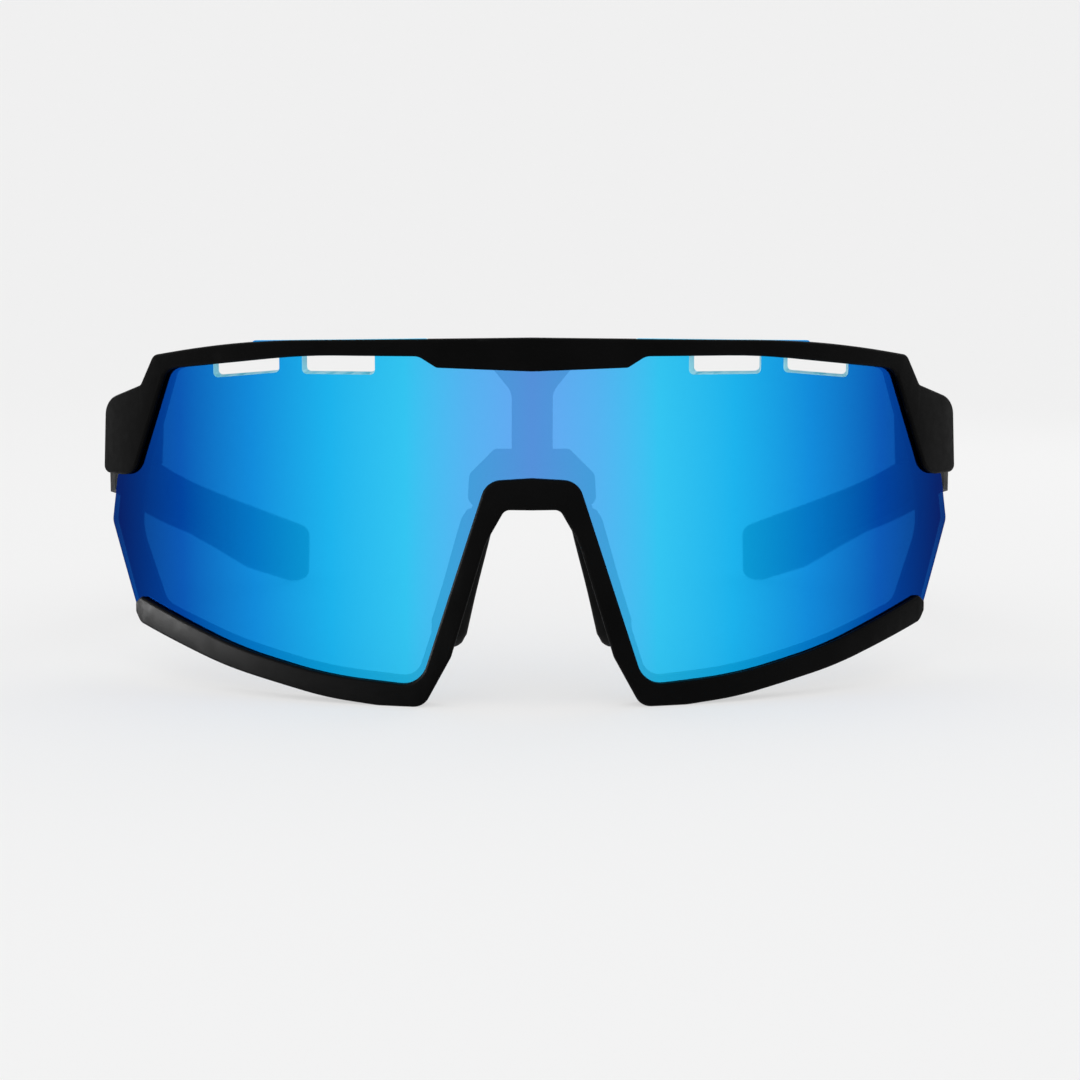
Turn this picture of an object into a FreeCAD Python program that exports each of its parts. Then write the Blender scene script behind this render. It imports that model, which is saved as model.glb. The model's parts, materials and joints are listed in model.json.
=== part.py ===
"""Wraparound sport sunglasses with one cylindrical shield lens, millimetres.

Frame of the part: +Z up, +X to the wearer's left, the lens faces -Y. The open glasses stand on
a level surface at z = 0, on the bottoms of the two rims and the undersides of the temple tips.
The origin is at the bottom centre of their box.

The lens, the lower frame and the front of the upper frame are walls about one vertical
cylinder axis, so the lens and the lower frame leave the upper frame by sliding straight down.
Every outline is a half (X >= 0), and the other half is its mirror image.
"""
import FreeCAD, Part
import math
import os
import Sketcher

Vector = FreeCAD.Vector
Rotation = FreeCAD.Rotation
Placement = FreeCAD.Placement
Constraint = Sketcher.Constraint

# Driving dimensions. Depths of the curved walls are radial steps from the front face of the lens.
SIZES = {
    # whole object
    "overall_depth": 164.2,
    "wall_height": 80.0,
    "wall_reach": 100.0,
    "trim_size": 40.0,
    # lens and the walls that hold it
    "lens_radius": 90.0,
    "lens_thickness": 2.0,
    "slot_gap": 0.05,
    "edge_gap": 0.15,
    "overrun": 1.0,
    "front_lip": 1.0,
    "rear_wall": 3.8,
    "front_round": 0.5,
    "bridge_front": 4.1,
    "bridge_back": 6.3,
    # hinge, in its own frame: origin on the pin axis, y along the temple, z along the pin
    "hinge_x": 69.0,
    "hinge_y": -25.1,
    "hinge_z": 41.5,
    "temple_slope": 13.2,
    "knuckle_radius": 2.6,
    "ear_root": 7.0,
    "lower_ear_bottom": -6.9,
    "lower_ear_height": 3.7,
    "upper_ear_bottom": 1.2,
    "upper_ear_height": 3.8,
    "tongue_bottom": -2.8,
    "tongue_height": 3.9,
    "washer_thickness": 0.35,
    "washer_radius": 2.3,
    "pin_radius": 0.9,
    "pin_bore": 0.95,
    "pin_bottom": -6.4,
    "head_radius": 1.6,
    "head_recess": 1.7,
    "head_height": 1.0,
    "drive_size": 0.9,
    "drive_depth": 0.5,
    "insert_radius": 1.5,
    "butt_face": -7.1,
    "block_back": -4.0,
    "skin_start": 2.7,
    "skirt_start": 71.7,
    # temple
    "core_radius": 0.7,
    "core_length": 44.0,
    "core_x": -1.0,
    "core_y": 52.0,
    "core_z": -9.4,
    "core_turn": 14.2,
    "core_dip": 3.5,
    # nose bridge, wires and pads; the pads' frame has z along the pad
    "bridge_screw_low": 42.0,
    "bridge_screw_high": 47.0,
    "bridge_screw_radius": 0.8,
    "bridge_head_radius": 1.5,
    "bridge_head_height": 0.8,
    "bridge_screw_length": 3.4,
    "boss_radius": 2.2,
    "boss_front": -76.4,
    "boss_length": 3.2,
    "wire_x": 7.4,
    "wire_y": -75.7,
    "wire_z": 33.4,
    "wire_radius": 0.6,
    "wire_bore": 0.64,
    "wire_root": 6.6,
    "wire_bend": 2.0,
    "wire_drop": 14.0,
    "pad_lean": 15.4,
    "pad_splay": 28.0,
    "pad_thickness": 3.4,
    "pad_round": 1.4,
}

# Corners of the outlines: (across, along, radius of the corner).
CORNERS = {
    # upper frame, front elevation
    "brow_mid_top": (0, 58.2, 0),
    "brow_bend_top": (47, 57.6, 150),
    "brow_end": (62.65, 55.0, 1.5),
    "shoulder_notch": (65.35, 49.9, 1.0),
    "block_top": (72.9, 47.05, 3.8),
    "block_outer": (73.6, 34.5, 1.2),
    "block_inner": (67.0, 34.5, 3.6),
    "shoulder_high": (60.0, 52.8, 2.8),
    "brow_bend_low": (36, 55.35, 100),
    "brow_step_out": (17.7, 55.3, 2.4),
    "brow_step_in": (14.9, 53.55, 1.0),
    "brow_mid_low": (0, 53.0, 0),
    # rear wall of the upper frame, with half of the centre strut
    "rear_shoulder_top": (68.5, 48.8, 0.5),
    "rear_shoulder_foot": (68.5, 34.5, 0.5),
    "rear_shoulder_low": (64.75, 34.5, 0.4),
    "rear_shoulder_high": (58.7, 52.4, 1.5),
    "rear_brow_end": (52.0, 54.9, 3.0),
    "rear_brow_bend": (36.0, 55.9, 60),
    "rear_brow_out": (18.0, 56.0, 1.0),
    "rear_brow_in": (14.9, 54.2, 1.0),
    "strut_flare": (6.4, 53.7, 2.0),
    "strut_neck": (3.2, 49.8, 3.0),
    "strut_foot": (3.2, 39.0, 0.5),
    "strut_mid": (0, 39.0, 0),
    # end block in plan; across is X, along is the distance behind the cylinder axis
    "block_plan_in": (62.0, -82.0, 0),
    "block_plan_front": (68.6, -61.7, 6.0),
    "block_plan_side": (73.6, -49.0, 8.0),
    "block_plan_back": (73.6, -28.0, 0),
    "block_plan_rear": (65.6, -28.0, 0),
    "block_plan_ledge": (65.6, -50.5, 2.0),
    "block_plan_wall": (60.0, -60.0, 0),
    # skirt under the outer edge of the end block, from the side: across is Y, along is Z
    "skirt_front_top": (-50.0, 36.0, 0),
    "skirt_back_top": (-28.0, 36.0, 0),
    "skirt_back_low": (-28.0, 29.0, 0),
    "skirt_front_low": (-48.0, 32.0, 1.0),
    # lower frame, front elevation
    "arch_mid_top": (0, 36.4, 0),
    "arch_corner": (7.2, 35.95, 3.2),
    "rim_nose_in": (17.8, 3.35, 4.2),
    "rim_in_near": (33.0, 4.45, 80),
    "rim_in_far": (48.0, 7.7, 80),
    "rim_tip_top": (66.1, 14.05, 0.7),
    "rim_tip_high": (67.25, 12.9, 0.6),
    "rim_tip_mid": (67.25, 11.3, 0.8),
    "rim_tip_low": (66.3, 9.6, 1.6),
    "rim_low_far": (50.0, 4.35, 80),
    "rim_low_near": (33.0, 0.8, 60),
    "rim_foot_out": (24.6, 0, 12),
    "rim_foot_in": (17.2, 0, 2.8),
    "leg_knee": (12.8, 8.1, 2.0),
    "leg_bend": (7.35, 26.1, 8.0),
    "arch_inner": (4.3, 31.45, 1.4),
    "arch_mid_low": (0, 31.4, 0),
    # rear wall of the lower frame, with the upright behind the side of the lens
    "ledge_mid": (0, 37.2, 0),
    "ledge_arch": (7.8, 36.75, 3.0),
    "ledge_nose": (18.35, 4.2, 3.0),
    "ledge_near": (33.0, 5.3, 80),
    "ledge_far": (47.6, 8.5, 70),
    "upright_low": (61.6, 13.0, 3.0),
    "upright_mid": (66.6, 25.5, 10.0),
    "upright_top_in": (64.75, 34.2, 0.3),
    "upright_top_out": (70.0, 34.2, 0.3),
    "upright_out": (71.2, 26.3, 3.0),
    "upright_foot": (66.7, 11.9, 0.6),
    # tongue of the upright and its socket
    "tongue_foot_in": (66.0, 30.0, 0),
    "tongue_top_in": (66.0, 39.0, 0.6),
    "tongue_top_out": (68.6, 39.0, 0.6),
    "tongue_foot_out": (68.6, 30.0, 0),
    "socket_foot_in": (65.85, 30.0, 0),
    "socket_top_in": (65.85, 39.3, 0.6),
    "socket_top_out": (68.75, 39.3, 0.6),
    "socket_foot_out": (68.75, 30.0, 0),
    # lens
    "lens_mid_top": (0, 56.5, 0),
    "lens_tab_root_in": (15.6, 56.5, 0.4),
    "lens_tab_top_in": (16.2, 58.08, 0.6),
    "lens_tab_top_out": (44.6, 57.62, 0.6),
    "lens_tab_root_out": (45.2, 56.2, 0.4),
    "lens_top_end": (61.4, 53.7, 1.5),
    "lens_shoulder": (63.2, 49.2, 1.5),
    "lens_side_high": (70.9, 34.4, 8.0),
    "lens_side": (72.25, 26.3, 2.5),
    "lens_low_out": (66.9, 10.9, 1.2),
    "lens_low_far": (48.0, 6.0, 80),
    "lens_low_near": (33.0, 2.75, 80),
    "lens_nose_low": (16.9, 1.8, 2.5),
    "lens_nose_top": (6.3, 34.6, 2.4),
    "lens_mid_low": (0, 34.9, 0),
    # vents in the lens
    "vent_near_low_in": (24.6, 52.4, 0.8),
    "vent_near_low_out": (36.4, 52.4, 0.8),
    "vent_near_top_out": (36.4, 56.2, 0.6),
    "vent_near_top_in": (24.6, 56.2, 0.6),
    "vent_far_low_in": (40.2, 52.6, 0.8),
    "vent_far_low_out": (51.65, 51.5, 0.8),
    "vent_far_top_out": (51.65, 54.65, 0.6),
    "vent_far_top_in": (40.2, 55.65, 0.6),
    # nose bridge plate and the lap that meets the strut
    "bridge_mid_top": (0, 40.6, 0),
    "bridge_neck": (5.9, 40.6, 1.0),
    "bridge_wing": (9.9, 36.6, 1.2),
    "bridge_wing_low": (10.2, 31.6, 1.6),
    "bridge_foot": (5.6, 31.6, 1.0),
    "bridge_arch": (4.4, 33.2, 1.0),
    "bridge_mid_low": (0, 33.2, 0),
    "lap_mid_top": (0, 49.6, 0),
    "lap_top": (2.6, 49.6, 1.0),
    "lap_foot": (2.6, 39.0, 0),
    "lap_mid_low": (0, 39.0, 0),
    # temple in plan, in the hinge frame: across is x, along is y
    "skin_front_out": (4.6, -7.0, 0.6),
    "arm_bend_out": (4.6, 34.5, 238),
    "arm_end_out": (-14.25, 110.6, 0),
    "arm_end_in": (-18.1, 110.6, 0),
    "arm_bend_in": (1.3, 34.0, 234),
    "arm_root_in": (1.3, 3.4, 0.5),
    "skin_rear_in": (2.9, 3.4, 0),
    "skin_front_in": (2.9, -7.0, 0),
    # temple from the side, in the hinge frame: across is y, along is z
    "arm_front_top": (-7.0, 4.3, 1.5),
    "arm_step_top": (3.0, 4.3, 4.0),
    "arm_step_low": (13.0, -4.2, 7.0),
    "arm_seam_top": (62.0, -4.4, 0),
    "arm_seam_low": (62.0, -14.6, 0),
    "arm_low_bend": (50.0, -13.5, 60),
    "arm_front_low": (-7.0, -12.9, 1.5),
    # hinge tongue of the temple in plan
    "knuckle_in": (-2.6, 0, 0),
    "knuckle_out": (2.6, 0, 0),
    "knuckle_skin": (4.4, 3.6, 0),
    "knuckle_back_out": (4.4, 9.0, 0),
    "knuckle_back_in": (1.9, 9.0, 0),
    # rubber tip, in plan and from the side
    "tip_front_out": (-1.5, 62.0, 0.8),
    "tip_end_out": (-14.2, 112.09, 2.2),
    "tip_end_in": (-19.0, 112.09, 2.2),
    "tip_front_in": (-6.25, 62.0, 0.8),
    "tip_side_top": (62.0, -4.1, 1.0),
    "tip_side_end_top": (112.09, -4.5, 4.5),
    "tip_side_end_low": (112.09, -17.8, 5.5),
    "tip_side_bend": (82.0, -17.35, 40),
    "tip_side_low": (62.0, -14.9, 1.0),
    # rubber grip let into the inner face of the arm
    "grip_front_top": (24.0, -6.0, 2.0),
    "grip_back_top": (56.0, -6.4, 2.0),
    "grip_back_low": (56.0, -12.0, 2.0),
    "grip_front_low": (24.0, -9.8, 1.8),
    "grip_front_out": (2.1, 4.0, 0),
    "grip_bend_out": (2.1, 34.1, 233),
    "grip_back_out": (-5.0, 62.0, 0),
    "grip_back_in": (-6.2, 62.0, 0),
    "grip_bend_in": (0.95, 33.9, 233),
    "grip_front_in": (0.95, 4.0, 0),
    # nose pad from the side, in the pad frame: across is y, along is z
    "pad_top_front": (-3.2, -3.2, 2.6),
    "pad_low_front": (-4.8, -26.0, 3.4),
    "pad_low_back": (4.4, -26.0, 3.6),
    "pad_top_back": (3.4, -3.2, 2.6),
}

UPPER_FRONT = ("brow_mid_top", "brow_bend_top", "brow_end", "shoulder_notch", "block_top",
               "block_outer", "block_inner", "shoulder_high", "brow_bend_low",
               "brow_step_out", "brow_step_in", "brow_mid_low")
UPPER_REAR = ("brow_mid_top", "brow_bend_top", "brow_end", "shoulder_notch", "rear_shoulder_top",
              "rear_shoulder_foot", "rear_shoulder_low", "rear_shoulder_high", "rear_brow_end",
              "rear_brow_bend", "rear_brow_out", "rear_brow_in", "strut_flare", "strut_neck",
              "strut_foot", "strut_mid")
BLOCK_PLAN = ("block_plan_in", "block_plan_front", "block_plan_side", "block_plan_back",
              "block_plan_rear", "block_plan_ledge", "block_plan_wall")
LOWER_FRONT = ("arch_mid_top", "arch_corner", "rim_nose_in", "rim_in_near", "rim_in_far",
               "rim_tip_top", "rim_tip_high", "rim_tip_mid", "rim_tip_low", "rim_low_far",
               "rim_low_near", "rim_foot_out", "rim_foot_in", "leg_knee", "leg_bend",
               "arch_inner", "arch_mid_low")
LOWER_REAR = ("ledge_mid", "ledge_arch", "ledge_nose", "ledge_near", "ledge_far", "upright_low",
              "upright_mid", "upright_top_in", "upright_top_out", "upright_out", "upright_foot",
              "rim_tip_low", "rim_low_far", "rim_low_near", "rim_foot_out", "rim_foot_in",
              "leg_knee", "leg_bend", "arch_inner", "arch_mid_low")
UPRIGHT_TONGUE = ("tongue_foot_in", "tongue_top_in", "tongue_top_out", "tongue_foot_out")
UPRIGHT_SOCKET = ("socket_foot_in", "socket_top_in", "socket_top_out", "socket_foot_out")
LENS = ("lens_mid_top", "lens_tab_root_in", "lens_tab_top_in", "lens_tab_top_out",
        "lens_tab_root_out", "lens_top_end", "lens_shoulder", "lens_side_high", "lens_side",
        "lens_low_out", "lens_low_far", "lens_low_near", "lens_nose_low", "lens_nose_top",
        "lens_mid_low")
VENT_NEAR = ("vent_near_low_in", "vent_near_low_out", "vent_near_top_out", "vent_near_top_in")
VENT_FAR = ("vent_far_low_in", "vent_far_low_out", "vent_far_top_out", "vent_far_top_in")
BRIDGE = ("bridge_mid_top", "bridge_neck", "bridge_wing", "bridge_wing_low", "bridge_foot",
          "bridge_arch", "bridge_mid_low")
BRIDGE_LAP = ("lap_mid_top", "lap_top", "lap_foot", "lap_mid_low")
ARM_PLAN = ("skin_front_out", "arm_bend_out", "arm_end_out", "arm_end_in", "arm_bend_in",
            "arm_root_in", "skin_rear_in", "skin_front_in")
ARM_SIDE = ("arm_front_top", "arm_step_top", "arm_step_low", "arm_seam_top", "arm_seam_low",
            "arm_low_bend", "arm_front_low")
KNUCKLE_PLAN = ("knuckle_in", "knuckle_out", "knuckle_skin", "knuckle_back_out",
                "knuckle_back_in")
TIP_PLAN = ("tip_front_out", "tip_end_out", "tip_end_in", "tip_front_in")
TIP_SIDE = ("tip_side_top", "tip_side_end_top", "tip_side_end_low", "tip_side_bend",
            "tip_side_low")
GRIP_SIDE = ("grip_front_top", "grip_back_top", "grip_back_low", "grip_front_low")
GRIP_PLAN = ("grip_front_out", "grip_bend_out", "grip_back_out", "grip_back_in",
             "grip_bend_in", "grip_front_in")
PAD_SIDE = ("pad_top_front", "pad_low_front", "pad_low_back", "pad_top_back")

SKIRT_SIDE = ("skirt_front_top", "skirt_back_top", "skirt_back_low", "skirt_front_low")

# Sketch planes: elevation looks along +Y, plan looks down, side looks along -X.
ELEVATION = Placement(Vector(0, 0, 0), Rotation(Vector(1, 0, 0), 90))
PLAN = Placement()
SIDE = Placement(Vector(0, 0, 0), Rotation(Vector(1, 1, 1), 120))

# Distance below which two points count as the same, millimetres.
NEAR = 0.01

LENS_AXIS_Y = "sheet.lens_radius + sheet.front_lip - sheet.overall_depth / 2"

doc = FreeCAD.newDocument("sport_sunglasses")
sheet = doc.addObject("Spreadsheet::Sheet", "sheet")


def fill_sheet():
    """One cell for each driving dimension, and three for each corner of an outline."""
    cells = dict(SIZES)
    for corner, (across, along, radius) in CORNERS.items():
        cells[corner + "_a"] = across
        cells[corner + "_b"] = along
        cells[corner + "_r"] = radius
    for row, (alias, value) in enumerate(cells.items(), start=1):
        sheet.set("A%d" % row, alias)
        sheet.set("B%d" % row, str(value))
        sheet.setAlias("B%d" % row, alias)
    doc.recompute()


def bind(item, **expressions):
    """Bind properties to sheet expressions; a double underscore stands for a dot."""
    for key, expression in expressions.items():
        item.setExpression(key.replace("__", "."), expression)
    return item


def corner_arc(point, before, after, radius):
    """Ends and centre of the round of one corner, and whether it turns left."""
    back = (before - point).normalize()
    ahead = (after - point).normalize()
    half = back.getAngle(ahead) / 2
    reach = radius / math.tan(half)
    centre = point + (back + ahead).normalize() * (radius / math.sin(half))
    left = (point - before).cross(after - point).z > 0
    return point + back * reach, point + ahead * reach, centre, left


def arc_geometry(start, end, centre, radius, left):
    """Sketch arc from start to end; a sketch arc always runs counter-clockwise."""
    first, last = (start, end) if left else (end, start)
    first_angle = math.atan2(first.y - centre.y, first.x - centre.x)
    last_angle = math.atan2(last.y - centre.y, last.x - centre.x)
    circle = Part.Circle(centre, Vector(0, 0, 1), radius)
    return Part.ArcOfCircle(circle, first_angle, last_angle)


def draw_outline(sketch, corners):
    """Closed outline of straight runs and tangent arcs, bound to the corners' cells."""
    points = [Vector(CORNERS[name][0], CORNERS[name][1], 0) for name in corners]
    radii = [float(CORNERS[name][2]) for name in corners]
    count = len(points)
    rounds = []
    for index, point in enumerate(points):
        if radii[index]:
            after = points[(index + 1) % count]
            rounds.append(corner_arc(point, points[index - 1], after, radii[index]))
        else:
            rounds.append((point, point, None, True))
    for index in range(count):
        start = rounds[index][1]
        end = rounds[(index + 1) % count][0]
        sketch.addGeometry(Part.LineSegment(start, end), False)
    constraints = []
    arcs = {}
    marks = []
    for index, (start, end, centre, left) in enumerate(rounds):
        mark = sketch.addGeometry(Part.Point(points[index]), True)
        marks.append(mark)
        before = (index - 1) % count
        if centre is None:
            constraints.append(Constraint("Coincident", before, 2, mark, 1))
            constraints.append(Constraint("Coincident", index, 1, mark, 1))
            continue
        arc = sketch.addGeometry(arc_geometry(start, end, centre, radii[index], left), False)
        arcs[index] = arc
        enter, leave = (1, 2) if left else (2, 1)
        constraints.append(Constraint("Tangent", before, 2, arc, enter))
        constraints.append(Constraint("Tangent", arc, leave, index, 1))
        constraints.append(Constraint("PointOnObject", mark, 1, before))
        constraints.append(Constraint("PointOnObject", mark, 1, index))
    sketch.addConstraint(constraints)
    for index, name in enumerate(corners):
        point = points[index]
        across = sketch.addConstraint(Constraint("DistanceX", -1, 1, marks[index], 1, point.x))
        sketch.setExpression("Constraints[%d]" % across, "sheet.%s_a" % name)
        along = sketch.addConstraint(Constraint("DistanceY", -1, 1, marks[index], 1, point.y))
        sketch.setExpression("Constraints[%d]" % along, "sheet.%s_b" % name)
        if index in arcs:
            size = sketch.addConstraint(Constraint("Radius", arcs[index], radii[index]))
            sketch.setExpression("Constraints[%d]" % size, "sheet.%s_r" % name)


def outline(name, corners, plane):
    """Sketch of one closed outline on a plane."""
    sketch = doc.addObject("Sketcher::SketchObject", name)
    sketch.Placement = plane
    draw_outline(sketch, corners)
    return sketch


def prism(name, profile, forward, backward="0"):
    """Solid from a sketch or an offset sketch, along and against its normal."""
    solid = doc.addObject("Part::Extrusion", name)
    solid.Base = profile
    solid.DirMode = "Normal"
    solid.Solid = True
    return bind(solid, LengthFwd=forward, LengthRev=backward)


def cylinder(name, radius, height, bottom="0", x="0", y="0"):
    """Upright cylinder; its size and place are sheet expressions."""
    solid = doc.addObject("Part::Cylinder", name)
    bind(solid, Radius=radius, Height=height)
    return bind(solid, Placement__Base__x=x, Placement__Base__y=y, Placement__Base__z=bottom)


def box(name, size, corner):
    """Block from its lowest corner."""
    solid = doc.addObject("Part::Box", name)
    bind(solid, Length=size[0], Width=size[1], Height=size[2])
    return bind(solid, Placement__Base__x=corner[0], Placement__Base__y=corner[1],
                Placement__Base__z=corner[2])


def common(name, *items):
    """What all the items share."""
    solid = doc.addObject("Part::MultiCommon", name)
    solid.Shapes = list(items)
    return solid


def fuse(name, *items):
    """The items joined into one solid."""
    solid = doc.addObject("Part::MultiFuse", name)
    solid.Shapes = list(items)
    solid.Refine = True
    return solid


def cut(name, base, *tools):
    """Base less its tools; more than one tool is joined first."""
    solid = doc.addObject("Part::Cut", name)
    solid.Base = base
    solid.Tool = tools[0] if len(tools) == 1 else fuse(name + "_tools", *tools)
    solid.Refine = True
    return solid


def mirrored(name, source):
    """Mirror image across the plane X = 0."""
    solid = doc.addObject("Part::Mirroring", name)
    solid.Source = source
    solid.Base = Vector(0, 0, 0)
    solid.Normal = Vector(1, 0, 0)
    return solid


def whole(name, half):
    """A half and its mirror image, joined."""
    return fuse(name, half, mirrored(name + "_mirror", half))


def lens_cylinder(name, step):
    """Upright cylinder about the lens axis, a radial step from the front of the lens."""
    return cylinder(name, "sheet.lens_radius + (%s)" % step, "sheet.wall_height",
                    "-sheet.trim_size / 4", "0", LENS_AXIS_Y)


def on_front_face(edge):
    """Whether an edge lies on the front face of the frames."""
    radius = SIZES["lens_radius"] + SIZES["front_lip"]
    axis_y = radius - SIZES["overall_depth"] / 2
    for share in (0.0, 0.3, 0.5, 0.8, 1.0):
        run = edge.LastParameter - edge.FirstParameter
        point = edge.valueAt(edge.FirstParameter + share * run)
        if abs(math.hypot(point.x, point.y - axis_y) - radius) > NEAR:
            return False
    return True


def rounded(name, source, chosen, radius):
    """Source with the edges that a test picks rounded."""
    body = doc.addObject("PartDesign::Body", name)
    body.BaseFeature = source
    doc.recompute()
    start = body.Group[0]
    edges = [index for index, edge in enumerate(start.Shape.Edges, 1) if chosen(edge)]
    fillet = body.newObject("PartDesign::Fillet", name + "_round")
    fillet.Base = (start, ["Edge%d" % index for index in edges])
    bind(fillet, Radius=radius)
    return body


def curved_wall(name, profile, inner, outer, backward="0"):
    """Wall about the lens axis between two radial steps, with a front outline."""
    front = prism(name + "_prism", profile, "sheet.wall_reach", backward)
    outside = common(name + "_outside", front, lens_cylinder(name + "_outer", outer))
    return cut(name, outside, lens_cylinder(name + "_inner", inner))


def hinge_frame():
    """Place of the left hinge, its pin leaning back by the slope of the temple."""
    centre = Vector(SIZES["hinge_x"], SIZES["hinge_y"], SIZES["hinge_z"])
    return Placement(centre, Rotation(Vector(-1, 0, 0), SIZES["temple_slope"]))


def at_hinge(item):
    """Stand an item of the hinge frame at the left hinge."""
    item.Placement = hinge_frame()
    bind(item, Placement__Base__x="sheet.hinge_x", Placement__Base__y="sheet.hinge_y")
    return bind(item, Placement__Base__z="sheet.hinge_z",
                Placement__Rotation__Angle="sheet.temple_slope")


def at_nose(item):
    """Stand an item of the pad frame at the left nose wire, leaning out down the nose."""
    item.Placement = Placement(Vector(0, 0, 0), Rotation(Vector(0, -1, 0), SIZES["pad_lean"]))
    bind(item, Placement__Base__x="sheet.wire_x", Placement__Base__y="sheet.wire_y")
    return bind(item, Placement__Base__z="sheet.wire_z",
                Placement__Rotation__Angle="sheet.pad_lean")


def along_y(item, x, y, z):
    """Turn an item whose axis is Z so that its axis runs back along +Y from a point."""
    item.Placement = Placement(Vector(0, 0, 0), Rotation(Vector(1, 0, 0), -90))
    bind(item, Placement__Base__x=x, Placement__Base__y=y)
    return bind(item, Placement__Base__z=z)


def body_with_sketch(name, role, lift="0"):
    """A PartDesign body and an empty sketch, lifted along Z, on one of its origin planes."""
    body = doc.addObject("PartDesign::Body", name)
    sketch = body.newObject("Sketcher::SketchObject", name + "_sketch")
    plane = [item for item in body.Origin.OriginFeatures if item.Role == role][0]
    sketch.AttachmentSupport = [(plane, "")]
    sketch.MapMode = "FlatFace"
    axis = "z" if role == "XY_Plane" else "y"
    sketch.setExpression("AttachmentOffset.Base." + axis, lift)
    return body, sketch


def draw_circle(sketch, radius):
    """Circle about the sketch origin, its radius bound to an expression."""
    circle = sketch.addGeometry(Part.Circle(Vector(0, 0, 0), Vector(0, 0, 1), 1.0), False)
    sketch.addConstraint(Constraint("Coincident", circle, 3, -1, 1))
    size = sketch.addConstraint(Constraint("Radius", circle, 1.0))
    sketch.setExpression("Constraints[%d]" % size, radius)


def round_body(name, radii, height, bottom="0"):
    """Rod, or with two radii a ring, standing on a level of the plan plane."""
    body, sketch = body_with_sketch(name, "XY_Plane", bottom)
    for radius in radii:
        draw_circle(sketch, radius)
    pad = body.newObject("PartDesign::Pad", name + "_pad")
    pad.Profile = sketch
    bind(pad, Length=height)
    return body


def draw_screw_half(sketch, shank, head, length, head_height):
    """Half section of a screw: the head's top is on the sketch origin, the shank hangs below."""
    points = [Vector(0, 0, 0), Vector(2, 0, 0), Vector(2, -1, 0), Vector(1, -1, 0),
              Vector(1, -4, 0), Vector(0, -4, 0)]
    for index, point in enumerate(points):
        after = points[(index + 1) % len(points)]
        sketch.addGeometry(Part.LineSegment(point, after), False)
    for index in range(len(points)):
        after = (index + 1) % len(points)
        sketch.addConstraint(Constraint("Coincident", index, 2, after, 1))
        sketch.addConstraint(Constraint("Vertical" if index % 2 else "Horizontal", index))
    sketch.addConstraint(Constraint("Coincident", 0, 1, -1, 1))
    runs = (("DistanceX", 0, 1, 0, 2, 2.0, head), ("DistanceX", 4, 2, 4, 1, 1.0, shank),
            ("DistanceY", 1, 2, 1, 1, 1.0, head_height), ("DistanceY", 5, 1, 0, 1, 4.0, length))
    for kind, first, first_end, last, last_end, value, expression in runs:
        run = Constraint(kind, first, first_end, last, last_end, value)
        sketch.setExpression("Constraints[%d]" % sketch.addConstraint(run), expression)


def screw_body(name, shank, head, length, head_height, top="0"):
    """Screw turned about Z with a square drive recess in its head."""
    body, sketch = body_with_sketch(name, "XZ_Plane", top)
    draw_screw_half(sketch, shank, head, length, head_height)
    turned = body.newObject("PartDesign::Revolution", name + "_turned")
    turned.Profile = sketch
    turned.ReferenceAxis = (sketch, ["V_Axis"])
    turned.Angle = 360
    recess = body.newObject("PartDesign::SubtractiveBox", name + "_drive")
    bind(recess, Length="sheet.drive_size", Width="sheet.drive_size", Height="sheet.drive_depth")
    bind(recess, Placement__Base__x="-sheet.drive_size / 2")
    bind(recess, Placement__Base__y="-sheet.drive_size / 2")
    bind(recess, Placement__Base__z="%s - sheet.drive_depth" % top)
    return body


def hinge_ears():
    """Upper and lower ears of the left hinge, reaching forward into the end block."""
    parts = []
    width = "2 * sheet.knuckle_radius"
    for side in ("lower", "upper"):
        bottom = "sheet.%s_ear_bottom" % side
        height = "sheet.%s_ear_height" % side
        parts.append(cylinder(side + "_ear_round", "sheet.knuckle_radius", height, bottom))
        parts.append(box(side + "_ear_root", (width, "sheet.ear_root", height),
                         ("-sheet.knuckle_radius", "-sheet.ear_root", bottom)))
    return at_hinge(fuse("hinge_ears", *parts))


def hinge_bores():
    """Pin bore, head recess and seat of the brass insert of the left hinge."""
    insert = cylinder("insert_seat", "sheet.insert_radius",
                      "sheet.lower_ear_height + sheet.overrun",
                      "sheet.lower_ear_bottom - sheet.overrun")
    pin = cylinder("pin_hole", "sheet.pin_bore", "sheet.trim_size", "-sheet.trim_size / 2")
    recess = cylinder("head_hole", "sheet.head_recess",
                      "sheet.head_height + sheet.overrun",
                      "sheet.upper_ear_bottom + sheet.upper_ear_height - sheet.head_height")
    return at_hinge(fuse("hinge_bores", insert, pin, recess))


def block_trims():
    """Space behind the end block: one face for the ears, one further forward for the skin."""
    tall = "sheet.trim_size"
    low = "-sheet.trim_size / 2"
    back = box("block_back_trim", (tall, tall, tall), (low, "sheet.block_back", low))
    butt = box("block_butt_trim", (tall, tall, tall), ("sheet.skin_start", "sheet.butt_face", low))
    return at_hinge(fuse("block_trims", back, butt))


def end_block(front_outline):
    """Left end block: the front outline carried back along the plan to the hinge."""
    plan = outline("block_plan", BLOCK_PLAN, PLAN)
    bind(plan, Placement__Base__y=LENS_AXIS_Y)
    upright = prism("block_upright", plan, "sheet.wall_height")
    face = prism("block_face", front_outline, "sheet.wall_reach")
    solid = common("block_raw", upright, face, lens_cylinder("block_skin", "sheet.front_lip"))
    side = prism("skirt_side_prism", outline("skirt_side", SKIRT_SIDE, SIDE),
                 "sheet.overall_depth")
    band = box("skirt_band", ("sheet.trim_size", "sheet.overall_depth", "sheet.overall_depth"),
               ("sheet.skirt_start", "-sheet.overall_depth / 2", "0"))
    skirt = common("block_skirt", upright, side, band)
    return cut("end_block", fuse("block_skirted", solid, skirt), block_trims())


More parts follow.
